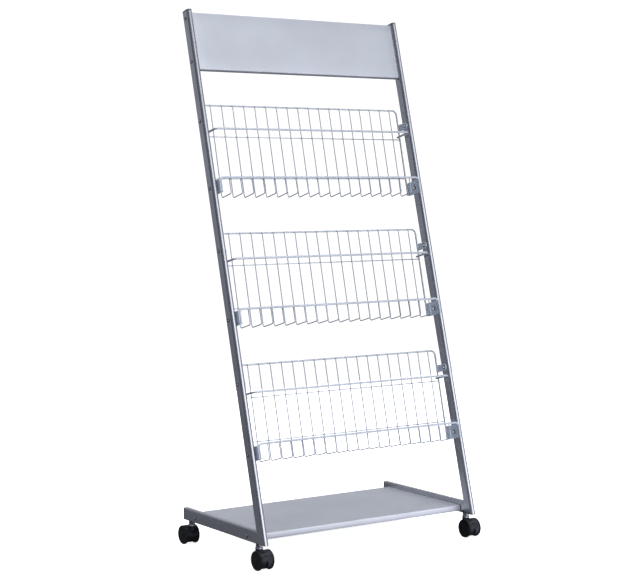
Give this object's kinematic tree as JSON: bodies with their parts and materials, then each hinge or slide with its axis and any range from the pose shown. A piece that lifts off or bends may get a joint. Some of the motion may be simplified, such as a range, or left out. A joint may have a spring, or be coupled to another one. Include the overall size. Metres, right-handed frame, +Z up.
{
  "type": "mobile brochure rack",
  "caption": "Leaning brochure rack on castors: two oval-tube side frames carry a header panel, welded wire baskets for leaflets and a base shelf.",
  "frame": {"origin": "middle of the footprint, on the floor under the castors", "axes": "+X to the right as a visitor faces the rack, +Y to its back, +Z up"},
  "size_m": [0.662, 0.3883, 1.322],
  "materials": {
    "silver_paint": "satin silver-grey powder coat",
    "panel_paint": "satin pale grey powder coat",
    "wire_coating": "pale silver powder coat",
    "zinc": "zinc plated",
    "dark_steel": "dark plated",
    "hood_plastic": "fine moulded texture",
    "wheel_plastic": "matte",
    "cap_plastic": "matte"
  },
  "bodies": {
    "rack": {"base_shelf": "panel_paint", "front_left_castor_lock_nut": "dark_steel", "front_left_castor_stem": "zinc", "front_right_castor_lock_nut": "dark_steel", "front_right_castor_stem": "zinc", "header_panel": "panel_paint", "left_basket_1_lower_bolt": "zinc", "left_basket_1_upper_bolt": "zinc", "left_basket_2_lower_bolt": "zinc", "left_basket_2_upper_bolt": "zinc", "left_basket_3_lower_bolt": "zinc", "left_basket_3_upper_bolt": "zinc", "left_foot_rail": "silver_paint", "left_header_bolt_1": "zinc", "left_header_bolt_2": "zinc", "left_rear_cap": "cap_plastic", "left_shelf_bolt_1": "zinc", "left_shelf_bolt_2": "zinc", "left_top_cap": "cap_plastic", "left_upright": "silver_paint", "rear_left_castor_lock_nut": "dark_steel", "rear_left_castor_stem": "zinc", "rear_right_castor_lock_nut": "dark_steel", "rear_right_castor_stem": "zinc", "right_basket_1_lower_bolt": "zinc", "right_basket_1_upper_bolt": "zinc", "right_basket_2_lower_bolt": "zinc", "right_basket_2_upper_bolt": "zinc", "right_basket_3_lower_bolt": "zinc", "right_basket_3_upper_bolt": "zinc", "right_foot_rail": "silver_paint", "right_header_bolt_1": "zinc", "right_header_bolt_2": "zinc", "right_rear_cap": "cap_plastic", "right_shelf_bolt_1": "zinc", "right_shelf_bolt_2": "zinc", "right_top_cap": "cap_plastic", "right_upright": "silver_paint", "wire_basket_1": "wire_coating", "wire_basket_2": "wire_coating", "wire_basket_3": "wire_coating"},
    "front_left_castor_swivel": {"front_left_castor_hood": "hood_plastic", "front_left_castor_axle": "zinc"},
    "front_left_castor_left_wheel": {"front_left_castor_left_wheel": "wheel_plastic"},
    "front_left_castor_right_wheel": {"front_left_castor_right_wheel": "wheel_plastic"},
    "front_left_castor_brake": {"front_left_castor_brake_pedal": "hood_plastic"},
    "front_right_castor_swivel": {"front_right_castor_hood": "hood_plastic", "front_right_castor_axle": "zinc"},
    "front_right_castor_left_wheel": {"front_right_castor_left_wheel": "wheel_plastic"},
    "front_right_castor_right_wheel": {"front_right_castor_right_wheel": "wheel_plastic"},
    "front_right_castor_brake": {"front_right_castor_brake_pedal": "hood_plastic"},
    "rear_left_castor_swivel": {"rear_left_castor_hood": "hood_plastic", "rear_left_castor_axle": "zinc"},
    "rear_left_castor_left_wheel": {"rear_left_castor_left_wheel": "wheel_plastic"},
    "rear_left_castor_right_wheel": {"rear_left_castor_right_wheel": "wheel_plastic"},
    "rear_right_castor_swivel": {"rear_right_castor_hood": "hood_plastic", "rear_right_castor_axle": "zinc"},
    "rear_right_castor_left_wheel": {"rear_right_castor_left_wheel": "wheel_plastic"},
    "rear_right_castor_right_wheel": {"rear_right_castor_right_wheel": "wheel_plastic"}
  },
  "joints": [
    {"name": "front_left_castor_swivel", "type": "hinge", "parent": "rack", "child": "front_left_castor_swivel", "pos_m": [-0.3125, -0.155, 0.04], "axis": [0, 0, 1], "continuous": true},
    {"name": "front_left_castor_left_wheel_spin", "type": "hinge", "parent": "front_left_castor_swivel", "child": "front_left_castor_left_wheel", "pos_m": [-0.3125, -0.1703, 0.0235], "axis": [1, 0, 0], "continuous": true},
    {"name": "front_left_castor_right_wheel_spin", "type": "hinge", "parent": "front_left_castor_swivel", "child": "front_left_castor_right_wheel", "pos_m": [-0.3125, -0.1703, 0.0235], "axis": [1, 0, 0], "continuous": true},
    {"name": "front_left_castor_brake_lift", "type": "hinge", "parent": "front_left_castor_swivel", "child": "front_left_castor_brake", "pos_m": [-0.3125, -0.19426, 0.02687], "axis": [-1, 0, 0], "range_deg": [0, 25]},
    {"name": "front_right_castor_swivel", "type": "hinge", "parent": "rack", "child": "front_right_castor_swivel", "pos_m": [0.3125, -0.155, 0.04], "axis": [0, 0, 1], "continuous": true},
    {"name": "front_right_castor_left_wheel_spin", "type": "hinge", "parent": "front_right_castor_swivel", "child": "front_right_castor_left_wheel", "pos_m": [0.3125, -0.1703, 0.0235], "axis": [1, 0, 0], "continuous": true},
    {"name": "front_right_castor_right_wheel_spin", "type": "hinge", "parent": "front_right_castor_swivel", "child": "front_right_castor_right_wheel", "pos_m": [0.3125, -0.1703, 0.0235], "axis": [1, 0, 0], "continuous": true},
    {"name": "front_right_castor_brake_lift", "type": "hinge", "parent": "front_right_castor_swivel", "child": "front_right_castor_brake", "pos_m": [0.3125, -0.19426, 0.02687], "axis": [-1, 0, 0], "range_deg": [0, 25]},
    {"name": "rear_left_castor_swivel", "type": "hinge", "parent": "rack", "child": "rear_left_castor_swivel", "pos_m": [-0.3125, 0.155, 0.04], "axis": [0, 0, 1], "continuous": true},
    {"name": "rear_left_castor_left_wheel_spin", "type": "hinge", "parent": "rear_left_castor_swivel", "child": "rear_left_castor_left_wheel", "pos_m": [-0.3125, 0.1703, 0.0235], "axis": [1, 0, 0], "continuous": true},
    {"name": "rear_left_castor_right_wheel_spin", "type": "hinge", "parent": "rear_left_castor_swivel", "child": "rear_left_castor_right_wheel", "pos_m": [-0.3125, 0.1703, 0.0235], "axis": [1, 0, 0], "continuous": true},
    {"name": "rear_right_castor_swivel", "type": "hinge", "parent": "rack", "child": "rear_right_castor_swivel", "pos_m": [0.3125, 0.155, 0.04], "axis": [0, 0, 1], "continuous": true},
    {"name": "rear_right_castor_left_wheel_spin", "type": "hinge", "parent": "rear_right_castor_swivel", "child": "rear_right_castor_left_wheel", "pos_m": [0.3125, 0.1703, 0.0235], "axis": [1, 0, 0], "continuous": true},
    {"name": "rear_right_castor_right_wheel_spin", "type": "hinge", "parent": "rear_right_castor_swivel", "child": "rear_right_castor_right_wheel", "pos_m": [0.3125, 0.1703, 0.0235], "axis": [1, 0, 0], "continuous": true}
  ]
}
